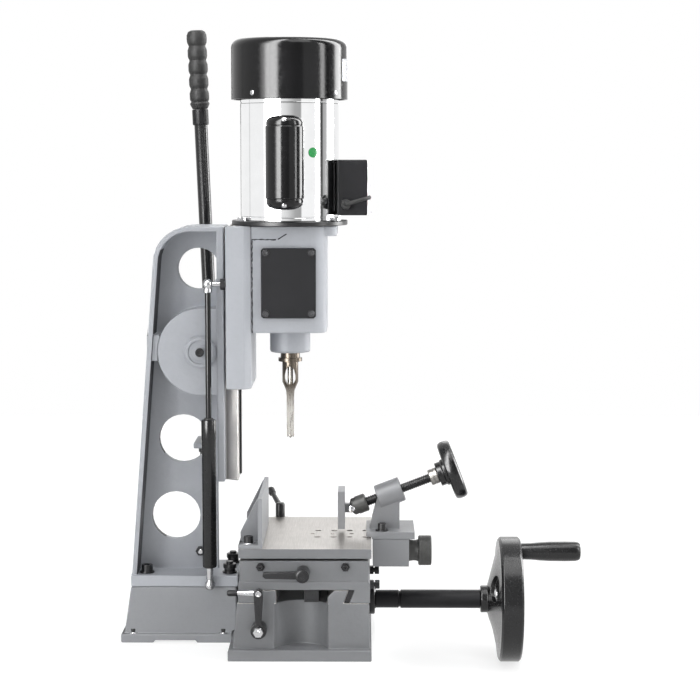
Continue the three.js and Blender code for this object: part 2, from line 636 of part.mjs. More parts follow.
const BED_LOCK = [-37.6, 0, 44.8];
const lockArm = [[-41.2, 46], [-34, 46], [-31.4, 92], [-32.5, 101], [-37, 103.5], [-42, 101], [-43.8, 92]];
add('traverse_lock_lever', join(
  rod(11, -176, -156.4, 'y', BED_LOCK, 20),
  prismY(lockArm, -176, -167.5),
  rod(7, -182, -175, 'y', BED_LOCK, 6),
));
const lockHandleProfile = [[0, -44.2], [4.9, -44.2], [3, -66], [4, -67], [4.2, -78], [3, -80], [0, -80.4]];
add('traverse_lock_handle', revolve(lockHandleProfile, 'x', [0, -171.8, 97], 14));

const FAR_PIVOT = [-19, 88, 0];
const farTip = new THREE.Vector3(-36, 130, 187);
const farRoot = new THREE.Vector3(-19, 88, 168);
const farDirection = new THREE.Vector3().subVectors(farTip, farRoot);
const farLength = farDirection.length();
farDirection.normalize();
const farSide = new THREE.Vector3().crossVectors(farDirection, new THREE.Vector3(0, 0, 1)).normalize();
const farThird = new THREE.Vector3().crossVectors(farSide, farDirection);
const farArm = turned([[0, 0], [4.2, 0], [3.4, farLength - 14], [5.4, farLength - 12],
  [6, farLength - 3], [4, farLength], [0, farLength]], 14);
farArm.applyMatrix4(basis(farSide, farDirection, farThird, [farRoot.x, farRoot.y, farRoot.z]));
add('far_clamp_lever', join(
  revolve([[0, 151.3], [7, 151.3], [7, 171.5], [5.5, 174], [0, 174]], 'z', FAR_PIVOT, 18),
  solid(farArm),
));

export default group;
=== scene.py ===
"""Looks of the bench hollow-chisel mortiser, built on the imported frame."""
import json
import math
import random

import bmesh
import bpy
from mathutils import Matrix, Vector


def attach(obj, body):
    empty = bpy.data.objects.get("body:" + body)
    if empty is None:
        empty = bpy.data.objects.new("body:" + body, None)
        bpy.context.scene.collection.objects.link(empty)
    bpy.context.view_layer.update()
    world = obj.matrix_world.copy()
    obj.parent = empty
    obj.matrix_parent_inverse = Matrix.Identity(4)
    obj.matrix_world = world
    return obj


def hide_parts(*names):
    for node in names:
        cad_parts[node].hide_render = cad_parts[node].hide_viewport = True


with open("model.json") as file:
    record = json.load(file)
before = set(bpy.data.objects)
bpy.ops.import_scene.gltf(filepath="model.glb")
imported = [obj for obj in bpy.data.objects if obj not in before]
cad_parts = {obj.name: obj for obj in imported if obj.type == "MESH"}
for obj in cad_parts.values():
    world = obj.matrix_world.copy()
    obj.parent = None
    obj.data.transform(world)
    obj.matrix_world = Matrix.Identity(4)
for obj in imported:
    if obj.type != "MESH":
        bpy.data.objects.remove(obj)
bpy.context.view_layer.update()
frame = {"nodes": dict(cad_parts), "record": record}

MM = 0.001
scene = bpy.context.scene
random.seed(7)


# ---- materials -------------------------------------------------------------------------------
class Graph:
    """Short calls for one material's node tree."""

    def __init__(self, name):
        self.material = bpy.data.materials.new(name)
        self.material.use_nodes = True
        self.tree = self.material.node_tree
        self.shader = self.tree.nodes["Principled BSDF"]
        self.coords = self.tree.nodes.new("ShaderNodeTexCoord").outputs["Object"]

    def node(self, kind, **values):
        made = self.tree.nodes.new(kind)
        for key, value in values.items():
            setattr(made, key, value)
        return made

    def link(self, a, b):
        self.tree.links.new(a, b)

    def scaled(self, scale):
        mapping = self.node("ShaderNodeMapping")
        mapping.inputs["Scale"].default_value = scale
        self.link(self.coords, mapping.inputs["Vector"])
        return mapping.outputs["Vector"]

    def noise(self, scale, detail=3.0, rough=0.55, stretch=None):
        made = self.node("ShaderNodeTexNoise")
        made.inputs["Scale"].default_value = scale
        made.inputs["Detail"].default_value = detail
        made.inputs["Roughness"].default_value = rough
        self.link(self.scaled(stretch) if stretch else self.coords, made.inputs["Vector"])
        return made.outputs["Fac"]

    def spread(self, value, low, high, start=0.3, end=0.7):
        made = self.node("ShaderNodeMapRange")
        made.inputs["From Min"].default_value = start
        made.inputs["From Max"].default_value = end
        made.inputs["To Min"].default_value = low
        made.inputs["To Max"].default_value = high
        self.link(value, made.inputs["Value"])
        return made.outputs["Result"]

    def blend(self, factor, a, b):
        made = self.node("ShaderNodeMix", data_type="RGBA")
        for socket, value in ((made.inputs[6], a), (made.inputs[7], b)):
            if isinstance(value, tuple):
                socket.default_value = (*value, 1.0)
            else:
                self.link(value, socket)
        self.link(factor, made.inputs[0])
        return made.outputs[2]

    def bump(self, height, strength, distance, below=None):
        made = self.node("ShaderNodeBump")
        made.inputs["Strength"].default_value = strength
        made.inputs["Distance"].default_value = distance
        self.link(height, made.inputs["Height"])
        if below is not None:
            self.link(below, made.inputs["Normal"])
        return made.outputs["Normal"]

    def set(self, socket, value):
        self.shader.inputs[socket].default_value = value

    def feed(self, socket, value):
        self.link(value, self.shader.inputs[socket])


def tint(color, gain):
    return tuple(min(1.0, c * gain) for c in color)


def cast_paint(name, color, roughness=0.46, coarse=1.0):
    """Satin paint over a sand casting: orange peel, hollows, a little dirt and lighter edges."""
    g = Graph(name)
    peel = g.noise(620, 4.0, 0.6)
    sand = g.noise(150, 4.0, 0.6)
    cloud = g.noise(9, 3.0, 0.5)
    mottled = g.blend(g.spread(cloud, 0.0, 1.0), tint(color, 0.93), tint(color, 1.06))
    dusty = g.blend(g.spread(sand, 0.0, 0.22, 0.45, 0.8), mottled, tint(color, 0.78))
    edge = g.node("ShaderNodeNewGeometry").outputs["Pointiness"]
    worn = g.blend(g.spread(edge, 0.0, 0.45, 0.53, 0.62), dusty, tint(color, 1.4))
    g.feed("Base Color", worn)
    g.feed("Roughness", g.spread(peel, roughness - 0.07, roughness + 0.1))
    low = g.bump(sand, 0.35 * coarse, 0.0009)
    g.feed("Normal", g.bump(peel, 0.28 * coarse, 0.00035, low))
    g.set("Specular IOR Level", 0.35)
    g.set("Coat Weight", 0.08)
    g.set("Coat Roughness", 0.25)
    return g.material


def ground_steel(name, color, stretch, roughness=0.32):
    """Machined steel: fine parallel grinding lines and a faint oil stain."""
    g = Graph(name)
    lines = g.noise(1.0, 4.0, 0.7, stretch)
    stain = g.noise(22, 3.0, 0.6)
    base = g.blend(g.spread(stain, 0.0, 1.0), tint(color, 0.9), tint(color, 1.07))
    g.feed("Base Color", g.blend(g.spread(lines, 0.0, 0.6), base, tint(color, 0.8)))
    g.feed("Roughness", g.spread(lines, roughness - 0.06, roughness + 0.12))
    g.feed("Normal", g.bump(lines, 0.3, 0.00012))
    g.set("Metallic", 0.9)
    return g.material


def polished(name, color, roughness=0.07, bands=0.0):
    """Polished or plated metal with faint handling marks."""
    g = Graph(name)
    haze = g.noise(45, 4.0, 0.6)
    rub = g.noise(1.0, 3.0, 0.6, (14, 14, 900))
    g.feed("Base Color", g.blend(g.spread(haze, 0.0, 1.0), tint(color, 0.95), color))
    g.feed("Roughness", g.spread(haze, roughness, roughness + 0.05))
    if bands:
        g.feed("Normal", g.bump(rub, bands, 0.00006))
    g.set("Metallic", 1.0)
    return g.material


def dark_finish(
    name, color, roughness, grain=700, strength=0.2, coat=0.0, metallic=0.0, shine=0.3,
):
    """Oxide, enamel, rubber, plastic, gloss colour or label foil, by roughness and grain."""
    g = Graph(name)
    fine = g.noise(grain, 3.0, 0.6)
    cloud = g.noise(16, 3.0, 0.55)
    g.feed("Base Color", g.blend(g.spread(cloud, 0.0, 1.0), tint(color, 0.8), tint(color, 1.5)))
    g.feed("Roughness", g.spread(fine, roughness - 0.05, roughness + 0.1))
    g.feed("Normal", g.bump(fine, strength, 0.0002))
    g.set("Metallic", metallic)
    g.set("Specular IOR Level", shine)
    g.set("Coat Weight", coat)
    g.set("Coat Roughness", 0.04)
    return g.material


def chisel_finish():
    """Ground tool steel, blued dark towards the shank and bright at the cutting end."""
    g = Graph("chisel_steel")
    split_axes = g.node("ShaderNodeSeparateXYZ")
    g.link(g.coords, split_axes.inputs[0])
    heat = g.spread(split_axes.outputs["Z"], 0.0, 1.0, 0.325, 0.362)
    grain = g.noise(1.0, 4.0, 0.7, (500, 500, 60))
    steel = g.blend(g.spread(grain, 0.0, 1.0), (0.40, 0.385, 0.36), (0.52, 0.50, 0.47))
    blued = g.blend(g.spread(grain, 0.0, 1.0), (0.085, 0.07, 0.055), (0.17, 0.145, 0.12))
    g.feed("Base Color", g.blend(heat, steel, blued))
    g.feed("Roughness", g.spread(grain, 0.22, 0.36))
    g.feed("Normal", g.bump(grain, 0.25, 0.0001))
    g.set("Metallic", 0.92)
    return g.material


CHISEL = chisel_finish()
PAINT = cast_paint("cast_paint_light", (0.40, 0.415, 0.445))
# The base, fence, bed, saddle and table-side greys are darker than the head's: partly their own
# paint tone, partly painted shade of the lower parts.
PAINT_LOW_AND_SHADE = cast_paint("cast_paint_base_and_shade", (0.27, 0.277, 0.29), 0.5, 1.2)
PAINT_BED_AND_SHADE = cast_paint("cast_paint_bed_and_shade", (0.185, 0.19, 0.198), 0.46, 1.3)
# Near-black paint for the inner faces of the column's rear flange: a painted shade band.
PAINTED_FLANGE_SHADE = cast_paint("painted_flange_shade", (0.045, 0.046, 0.05), 0.6, 1.2)
PLATE_PAINT = cast_paint("machined_paint", (0.23, 0.235, 0.245), 0.42, 0.5)
TABLE = ground_steel("ground_table", (0.40, 0.38, 0.36), (1500, 30, 400), 0.36)
WAYS = ground_steel("ground_ways", (0.58, 0.56, 0.54), (400, 30, 1500), 0.33)
BRIGHT = ground_steel("turned_steel", (0.50, 0.48, 0.45), (60, 60, 1600), 0.22)
DULL_STEEL = ground_steel("dull_turned_steel", (0.26, 0.25, 0.235), (60, 60, 1600), 0.34)
CORE = ground_steel("laminated_core", (0.32, 0.31, 0.30), (40, 40, 2200), 0.45)
CHROME = polished("chrome_plate", (0.50, 0.50, 0.51), 0.12)
DARK_CHROME = polished("dark_plated_steel", (0.13, 0.13, 0.135), 0.2)
MOTOR = polished("polished_motor_shell", (0.90, 0.905, 0.91), 0.035, 0.08)
OXIDE = dark_finish("black_oxide", (0.010, 0.010, 0.011), 0.30, 900, 0.25, shine=0.4)
SATIN = dark_finish("black_satin_plastic", (0.0075, 0.0075, 0.0085), 0.40, 520, 0.22, shine=0.2)
BAKELITE = dark_finish("moulded_black_handle", (0.006, 0.006, 0.0065), 0.2, 400, 0.06, shine=0.42)
ENAMEL = dark_finish("gloss_black_enamel", (0.004, 0.004, 0.0045), 0.12, 260, 0.04, shine=0.32)
RUBBER = dark_finish("moulded_rubber", (0.02, 0.02, 0.02), 0.55, 1400, 0.5)
DARK_GREY = dark_finish("dark_grey_satin", (0.062, 0.062, 0.060), 0.42, 700, 0.25)
GREEN = dark_finish("green_gloss", (0.01, 0.33, 0.07), 0.2, 300, 0.04, 0.5)
RED = dark_finish("red_gloss", (0.50, 0.012, 0.012), 0.2, 300, 0.04, 0.5)
ALUMINIUM = ground_steel("brushed_aluminium", (0.74, 0.74, 0.75), (300, 1500, 25), 0.34)
LABEL = dark_finish("label_foil", (0.42, 0.43, 0.45), 0.3, 200, 0.05, 0.2, metallic=0.7)
SHADOW = dark_finish("seam_shadow", (0.03, 0.03, 0.033), 0.7, 900, 0.4)

NODE_MATERIAL = {
    "base_casting": PAINT_LOW_AND_SHADE, "bed_casting": PAINT_BED_AND_SHADE, "column_casting": PAINT,
    "head_casting": PAINT, "saddle_casting": PAINT_BED_AND_SHADE, "work_fence": PAINT_LOW_AND_SHADE,
    "clamp_bracket": PLATE_PAINT, "clamp_block": PLATE_PAINT, "clamp_pad": PLATE_PAINT,
    "pinion_end_cap": PAINT, "table_plate": TABLE, "head_gib": WAYS, "saddle_gib": OXIDE,
    "feed_rack": WAYS, "traverse_rack": OXIDE, "feed_pinion": WAYS, "traverse_pinion": WAYS,
    "feed_shaft": BRIGHT, "depth_stop_rod": BRIGHT, "drill_chuck": BRIGHT, "auger_bit": BRIGHT,
    "mortise_chisel": CHISEL, "rotor_shaft": CORE, "stator": CORE, "strut_rod": ENAMEL,
    "strut_lower_end": CHROME, "strut_upper_end": CHROME, "far_clamp_lever": OXIDE,
    "traverse_lock_handle": CHROME, "motor_body": MOTOR, "motor_flange": OXIDE,
    "fan_cover": ENAMEL, "capacitor_cover": ENAMEL, "switch_box": SATIN,
    "switch_cover": ALUMINIUM,
    "switch_lead": RUBBER, "start_button": GREEN, "stop_button": RED, "cooling_fan": SATIN,
    "access_cover_near": SATIN, "access_cover_far": SATIN, "way_strip": OXIDE,
    "depth_stop_nut": OXIDE, "feed_lever": BAKELITE, "lever_grip": RUBBER, "strut_tube": BAKELITE,
    "cross_feed_knob": DARK_GREY, "clamp_swivel": DARK_GREY, "clamp_screw": OXIDE,
    "clamp_handwheel": BAKELITE, "shaft_flange": OXIDE, "traverse_shaft": SATIN,
    "traverse_handwheel": BAKELITE, "handle_grip": BAKELITE, "cross_lock_lever": OXIDE,
    "traverse_lock_lever": OXIDE, "column_bolt_1": OXIDE, "column_bolt_2": OXIDE,
    "column_bolt_3": OXIDE, "column_bolt_4": OXIDE,
}


# ---- mesh helpers ----------------------------------------------------------------------------
def smooth_by_angle(mesh, degrees=32):
    """Smooth faces with sharp edges kept where the surface really turns."""
    if "custom_normal" in mesh.attributes:
        mesh.attributes.remove(mesh.attributes["custom_normal"])
    bm = bmesh.new()
    bm.from_mesh(mesh)
    limit = math.radians(degrees)
    for face in bm.faces:
        face.smooth = True
    for edge in bm.edges:
        edge.smooth = len(edge.link_faces) == 2 and edge.calc_face_angle(0.0) < limit
    bm.to_mesh(mesh)
    bm.free()


def new_object(name, mesh, material, body):
    made = bpy.data.objects.new(name, mesh)
    scene.collection.objects.link(made)
    made.data.materials.clear()
    made.data.materials.append(material)
    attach(made, body)
    return made


BODY_OF = {
    node: body
    for body, nodes in frame["record"]["behaviour"]["bodies"].items()
    for node in nodes
}


def rounded_copy(node, width, segments, extra=()):
    """The CAD shape with real rounded edges, standing for the plain node."""
    mesh = frame["nodes"][node].data.copy()
    bm = bmesh.new()
    bm.from_mesh(mesh)
    bmesh.ops.remove_doubles(bm, verts=bm.verts, dist=2e-6)
    bmesh.ops.dissolve_limit(
        bm, angle_limit=math.radians(0.8), verts=bm.verts, edges=bm.edges, delimit={"NORMAL"},
    )
    bm.to_mesh(mesh)
    bm.free()
    smooth_by_angle(mesh)
    made = new_object("look_" + node, mesh, NODE_MATERIAL[node], BODY_OF[node])
    for material in extra:
        made.data.materials.append(material)
    bevel = made.modifiers.new("round_edges", "BEVEL")
    bevel.width = width * MM
    bevel.segments = segments
    bevel.limit_method = "ANGLE"
    bevel.angle_limit = math.radians(34)
    bevel.use_clamp_overlap = False
    bevel.miter_outer = "MITER_ARC"
    bevel.harden_normals = True
    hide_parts(node)
    return made


def frame_for(direction):
    """A rotation that takes local Z to the direction."""
    return Vector(direction).normalized().to_track_quat("Z", "Y").to_matrix().to_4x4()


def turned(name, profile, at, direction, material, body, segments=72, angle=30):
    """A lathe shape in millimetres. A third entry of 'hex' makes that ring six-sided."""
    turn = frame_for(direction)
    move = Matrix.Translation(Vector(at) * MM)
    bm = bmesh.new()
    rings = []
    for point in profile:
        radius, height = point[0], point[1]
        six = len(point) > 2
        if radius < 1e-6:
            rings.append([bm.verts.new((0, 0, height * MM))])
            continue
        ring = []
        for i in range(segments):
            a = 2 * math.pi * i / segments
            r = radius
            if six:
                r = radius * math.cos(math.pi / 6) / math.cos((a % (math.pi / 3)) - math.pi / 6)
            ring.append(bm.verts.new((r * math.cos(a) * MM, r * math.sin(a) * MM, height * MM)))
        rings.append(ring)
    for low, high in zip(rings, rings[1:]):
        for i in range(segments):
            j = (i + 1) % segments
            corners = [low[i % len(low)], low[j % len(low)]]
            corners += [high[j % len(high)], high[i % len(high)]]
            unique = []
            for vert in corners:
                if vert not in unique:
                    unique.append(vert)
            if len(unique) > 2:
                bm.faces.new(unique)
    bmesh.ops.remove_doubles(bm, verts=bm.verts, dist=1e-7)
    bmesh.ops.recalc_face_normals(bm, faces=bm.faces)
    mesh = bpy.data.meshes.new(name)
    bm.transform(move @ turn)
    bm.to_mesh(mesh)
    bm.free()
    smooth_by_angle(mesh, angle)
    return new_object(name, mesh, material, body)


WASHER = 1.6    # thickness of every washer, in millimetres


def socket_screw(
    name, at, direction, radius, height, material, body, washer=None, washer_mat=CHROME,
):
    """Cap screw with a chamfered head and a real hexagon socket, on a washer if asked."""
    lift = WASHER if washer else 0.0
    if washer:
        ring = [(0.0, 0.0), (washer, 0.0), (washer, 1.2), (washer - 0.4, WASHER), (0.0, WASHER)]
        turned(name + "_washer", ring, at, direction, washer_mat, body, 36)
    key = radius * 0.56
    top = height + lift
    head = [
        (0.0, lift), (radius, lift), (radius, top - 0.6), (radius - 0.5, top),
        (key + 0.35, top, "hex"), (key, top - 0.35, "hex"), (key, top - height * 0.55, "hex"),
        (0.0, top - height * 0.6),
    ]
    return turned(name, head, at, direction, material, body, 36)


def pan_screw(name, at, direction, radius, material, body):
    """Low domed screw head with a small six-sided recess."""
    head = [
        (0.0, 0.0), (radius, 0.0), (radius * 0.98, 0.5), (radius * 0.8, 1.2), (radius * 0.5, 1.6),
        (radius * 0.42, 1.65, "hex"), (radius * 0.34, 1.0, "hex"), (0.0, 0.8),
    ]
    return turned(name, head, at, direction, material, body, 30)


def hex_nut(
    name, at, direction, radius, height, material, body, stud=0.0, stud_mat=None, proud=3.0,
):
    """Chamfered nut, with the end of its stud standing out if a stud radius is given."""
    nut = [
        (0.0, 0.0), (radius * 0.9, 0.0), (radius, 0.6, "hex"), (radius, height - 0.6, "hex"),
        (radius * 0.86, height), (0.0, height),
    ]
    turned(name, nut, at, direction, material, body, 36)
    if stud:
        end = Vector(at) + Vector(direction).normalized() * height
        shape = [(0.0, -0.2), (stud, -0.2), (stud, proud - 0.8)]
        shape += [(stud - 0.8, proud), (0.0, proud)]
        turned(name + "_stud", shape, end, direction, stud_mat, body, 24)


def swap(piece, node):
    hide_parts(node)
    return piece


# ---- castings and plates with rounded edges --------------------------------------------------
for node, width, segments, extra in (
    ("base_casting", 2.2, 3, ()),
    ("bed_casting", 1.6, 2, (WAYS,)),
    ("column_casting", 1.5, 2, (WAYS, PAINTED_FLANGE_SHADE)),
    ("head_casting", 1.6, 2, (WAYS,)),
    ("saddle_casting", 1.2, 2, ()),
    ("table_plate", 0.5, 2, (PAINT_BED_AND_SHADE,)),
    ("work_fence", 0.8, 2, ()),
    ("clamp_bracket", 1.0, 2, ()),
    ("clamp_block", 0.7, 2, ()),
    ("clamp_pad", 0.6, 2, ()),
    ("switch_box", 2.2, 3, ()),
    ("switch_cover", 0.8, 2, ()),
    ("access_cover_near", 0.7, 2, ()),
    ("access_cover_far", 0.7, 2, ()),
    ("traverse_lock_lever", 0.8, 2, ()),
    ("cross_lock_lever", 0.8, 2, ()),
    ("traverse_handwheel", 0.9, 2, ()),
    ("clamp_handwheel", 0.7, 2, ()),
    ("feed_lever", 0.8, 2, ()),
    ("clamp_swivel", 0.5, 2, ()),
):
    rounded_copy(node, width, segments, extra)
for node, material in NODE_MATERIAL.items():
    obj = frame["nodes"][node]
    obj.data.materials.clear()
    obj.data.materials.append(material)


def paint_faces(node, index, rule):
    """Faces that pass the rule, given centre and normal in millimetres, take another material."""
    obj = bpy.data.objects["look_" + node]
    for face in obj.data.polygons:
        centre = face.center / MM
        if rule(centre, face.normal):
            face.material_index = index


paint_faces("bed_casting", 1, lambda c, n: c.z > 78.4)
paint_faces(
    "column_casting", 1,
    lambda c, n: c.x > -90.9 and c.z > 228 and abs(c.y) < 42 and abs(n.z) < 0.5,
)
# Inner faces of the column's rear flange take the near-black paint: painted shade.
paint_faces("column_casting", 2, lambda c, n: n.x > 0.5 and c.x < -179 and 96 < c.z < 570)
paint_faces(
    "table_plate", 1,
    lambda c, n: abs(n.z) < 0.5 and (abs(c.y + 38.5) > 114 or abs(c.x - 25) > 89),
)
paint_faces(
    "head_casting", 1,
    lambda c, n: c.x < -71 and abs(c.y) < 52 and abs(n.z) < 0.5 and c.x > -86.9,
)

# ---- motor -----------------------------------------------------------------------------------
UP = (0, 0, 1)
FRONT = (1, 0, 0)
AXIS_ORIGIN = (0, 0, 0)      # on the spindle axis, at bench height
CAPACITOR_AXIS = (-3, -94.6, 0)
FLANGE_BOLT_CIRCLE = 75.6
FLANGE_TOP = 597.05
HOOD_RADIUS = 81.9
HOOD_SCREW_Z = 774
swap(turned("look_motor_body", [
    (64, 597.3), (69.5, 597.3), (69.8, 597.8), (69.8, 601), (69.3, 601.6), (69.3, 602.4),
    (69.8, 603), (69.8, 760), (69.4, 760.6), (69.4, 761.4), (69.8, 762), (69.8, 765.7),
    (12, 765.7), (12, 756), (64, 756), (64, 597.3),
], AXIS_ORIGIN, UP, MOTOR, "head", 128), "motor_body")
swap(turned("look_motor_flange", [
    (12, 590.3), (81.2, 590.3), (82, 591.1), (82, 596), (81, 597), (73, 597), (71.5, 597.1),
    (12, 597.1), (12, 590.3),
], AXIS_ORIGIN, UP, OXIDE, "head", 128), "motor_flange")
hood = [(0, 846.5), (70, 846.5), (78.6, 838), (78.6, 766), (81.6, 766), (82, 766.5), (82, 838)]
for step in range(1, 9):
    a = math.radians(90 * step / 8)
    hood.append((70 + 12 * math.cos(a), 838 + 12 * math.sin(a)))
hood += [(40, 850), (38, 849.4), (36, 849.4), (34, 850), (0, 850)]
swap(turned("look_fan_cover", hood, AXIS_ORIGIN, UP, ENAMEL, "head", 128), "fan_cover")
swap(turned("look_capacitor_cover", [
    (0, 614), (12, 614), (17, 615.2), (21.5, 617.4), (24.4, 620.4), (25.4, 623.5), (25.6, 627.6),
    (25.2, 628.2), (25.2, 628.9), (26, 629.3), (26.6, 630.2), (26.6, 727.2), (26, 728.2),
    (25.2, 728.6), (25.2, 729.3), (25.6, 729.9), (25.4, 733.6), (24.4, 736.4), (21.5, 739.3),
    (17, 741.4), (12, 742.6), (0, 742.6),
], CAPACITOR_AXIS, UP, ENAMEL, "head", 72), "capacitor_cover")
for tag, height, facing in (("top", 736.6, 1), ("bottom", 620.0, -1)):
    spot = (CAPACITOR_AXIS[0], -118.4, height)
    pan_screw("capacitor_screw_" + tag, spot, (0, -1, 0.45 * facing), 3.4, CHROME, "head")
for number, degrees in enumerate((30, 150, 210, 330)):
    a = math.radians(degrees)
    spot = (FLANGE_BOLT_CIRCLE * math.cos(a), FLANGE_BOLT_CIRCLE * math.sin(a), FLANGE_TOP)
    hex_nut("flange_bolt_%d" % number, spot, UP, 6.4, 4.6, CHROME, "head")
for number, degrees in enumerate((53.5, 143.5, 233.5, 323.5)):
    a = math.radians(degrees)
    out = (math.cos(a), math.sin(a), 0)
    spot = (HOOD_RADIUS * out[0], HOOD_RADIUS * out[1], HOOD_SCREW_Z)
    pan_screw("hood_screw_%d" % number, spot, out, 3.6, CHROME, "head")


def shell_patch(name, radius, middle, half_w, z0, z1, thickness, material, corner=0.0):
    """A thin curved plate on a round shell: rounded corners, or an oval if no corner is given."""
    columns = 28
    half_h = (z1 - z0) / 2
    centre_z = (z0 + z1) / 2
    bm = bmesh.new()
    rows = []
    for k in range(columns + 1):
        u = -half_w * math.cos(math.pi * k / columns)
        if corner:
            over = max(0.0, abs(u) - (half_w - corner))
            h = half_h - corner + math.sqrt(max(0.0, corner * corner - over * over))
        else:
            h = half_h * math.sqrt(max(0.0, 1 - (u / half_w) ** 2)) + 0.02
        a = math.radians(middle) + u / radius
        row = []
        outer = radius + thickness
        for r, z in ((outer, h), (outer, -h), (radius, -h), (radius, h)):
            spot = Vector((r * math.cos(a), r * math.sin(a), centre_z + z)) * MM
            row.append(bm.verts.new(spot))
        rows.append(row)
    for left, right in zip(rows, rows[1:]):
        for i in range(4):
            j = (i + 1) % 4
            bm.faces.new([left[i], left[j], right[j], right[i]])
    bm.faces.new(rows[0])
    bm.faces.new(rows[-1])
    bmesh.ops.recalc_face_normals(bm, faces=bm.faces)
    mesh = bpy.data.meshes.new(name)
    bm.to_mesh(mesh)
    bm.free()
    smooth_by_angle(mesh, 40)
    return new_object(name, mesh, material, "head")


shell_patch("rating_dot", 69.8, -60.2, 7.0, 685, 699, 0.4, GREEN)
shell_patch("blank_label", 81.98, 0, 34.0, 791, 822, 0.3, LABEL, 2.5)

# ---- head details ----------------------------------------------------------------------------
COVER_FACE = 64.2
SEAM_Y = -60.0
for side in (-1, 1):
    label = "near" if side < 0 else "far"
    for number, (x, z) in enumerate(((-31.5, 468.5), (32, 468.5), (-31.5, 553.5), (32, 553.5))):
        socket_screw(
            "cover_screw_%s_%d" % (label, number), (x, COVER_FACE * side, z), (0, side, 0),
            4.4, 2.4, DARK_CHROME, "head", 5.4, OXIDE,
        )


def strand(name, points, radius, material, body, jitter=0.0):
    """A thin raised line along points in millimetres."""
    curve = bpy.data.curves.new(name, "CURVE")
    curve.dimensions = "3D"
    curve.bevel_depth = radius * MM
    curve.bevel_resolution = 2
    spline = curve.splines.new("POLY")
    spline.points.add(len(points) - 1)
    for spot, point in zip(spline.points, points):
        shift = [random.uniform(-jitter, jitter) for _ in range(3)]
        spot.co = [(value + move) * MM for value, move in zip(point, shift)] + [1.0]
        spot.radius = 1.0 + (random.uniform(-0.35, 0.35) if jitter else 0.0)
    made = bpy.data.objects.new(name, curve)
    scene.collection.objects.link(made)
    curve.materials.append(material)
    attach(made, body)
    return made


# Thin near-black lines along the head casting's seam and ridge: painted shadow of the gaps there.
seam = [(-50.5, SEAM_Y, 441 + 2.6 * i) for i in range(50)]
seam += [(-50.0 + 3 * i, SEAM_Y, 571.5) for i in range(12)]
strand("seam_shadow_line", seam, 0.8, SHADOW, "head", 0.35)
ridge = [(-14, SEAM_Y, 572), (-8, SEAM_Y, 576), (-2, SEAM_Y, 579.5)]
strand("ridge_shadow_line", ridge, 0.9, SHADOW, "head", 0.3)

# ---- switch ----------------------------------------------------------------------------------
for number, (y, z) in enumerate(((-34, 610.5), (34, 610.5), (-34, 676), (34, 676))):
    pan_screw("switch_screw_%d" % number, (114.9, y, z), FRONT, 2.6, CHROME, "head")
for tag, height, colour in (("start", 660, GREEN), ("stop", 627, RED)):
    swap(turned("look_%s_button" % tag, [
        (0, 106), (8.9, 106), (9, 114.4), (8.6, 115.1), (7.8, 115.4), (5, 115.1), (0, 115.0),
    ], (0, 0, height), FRONT, colour, tag + "_switch", 48), tag + "_button")
turned("gland_nut", [
    (7.2, 0), (8.6, 0, "hex"), (8.6, 4, "hex"), (7.4, 5), (7.2, 5), (7.2, 0),
], (80, -41, 620.5), (0, -1, 0), SATIN, "head", 36)

# ---- gas strut -------------------------------------------------------------------------------
STRUT_AXIS = (-112, -66, 0)
swap(turned("look_strut_tube", [
    (0, 109.3), (8.2, 109.3), (9.4, 110.2), (10, 112), (10, 290.5), (10.3, 292), (10.5, 293),
    (10.5, 317.5), (10, 319.4), (8.6, 320), (4.6, 320), (4.6, 115), (0, 115),
], STRUT_AXIS, UP, BAKELITE, "frame", 64), "strut_tube")
turned("strut_wiper", [(4.6, 320), (6.6, 320), (6.2, 322), (4.5, 322.4), (4.5, 320)],
       STRUT_AXIS, UP, RUBBER, "frame", 40)
turned("strut_bottom_nut", [
    (4.3, 0), (7.0, 0.4, "hex"), (7.0, 4.4, "hex"), (6.0, 5), (4.3, 5), (4.3, 0),
], (-112, -60.6, 84), (0, 1, 0), OXIDE, "frame", 36)

# ---- feed lever and pinion -------------------------------------------------------------------
LEAN = math.radians(2.35)     # the lever's backward lean at rest
LEVER_FOOT = (-125, 150, 413)
PINION_Z = 413
lever_way = (-math.sin(LEAN), 0, math.cos(LEAN))
grip = [(0, 344), (10.8, 344), (11.6, 345), (14.3, 350.6), (14.4, 352.4), (12.6, 355)]
for k in range(4):
    h = 354 + 21 * k
    grip += [(14.0, h + 3), (14.4, h + 5), (14.4, h + 13)]
    grip += [(13.9, h + 15), (12.7, h + 18), (12.3, h + 20)]
grip += [(13.2, 439), (14.4, 441.6), (15, 447), (14.6, 453), (12.6, 457.6), (9, 459.6), (0, 460)]
swap(turned("look_lever_grip", grip, LEVER_FOOT, lever_way, RUBBER, "feed", 64), "lever_grip")
socket_screw(
    "lever_hub_screw", (-125, 159.9, PINION_Z), (0, 1, 0), 7.5, 3.4, OXIDE, "feed", 17, CHROME,
)
socket_screw(
    "end_cap_screw", (-125, -49.9, PINION_Z), (0, -1, 0), 6.2, 5.0, OXIDE, "frame", 10.5, PAINT,
)
turned("lever_ferrule", [
    (9.9, 320), (11.6, 320.6), (12, 322), (12, 341), (11.7, 343.2), (9.9, 343.4), (9.9, 320),
], LEVER_FOOT, lever_way, SATIN, "feed", 48)

# ---- column details --------------------------------------------------------------------------
for name, side, proud in (("web_nut", -1, 4.0), ("web_nut_far", 1, 3.0)):
    spot = (-129.6, 6.0 * side, 121)
    hex_nut(name, spot, (0, side, 0), 7.4, 5.5, OXIDE, "frame", 3.6, CHROME, proud)
for number, (x, y) in enumerate(((-222, -56.5), (-222, 56.5), (-94, -56.5), (-94, 56.5))):
    spot = (x, y, 12.9)
    socket_screw("base_bolt_%d" % number, spot, UP, 5.0, 5.0, OXIDE, "frame", 8.0, CHROME)

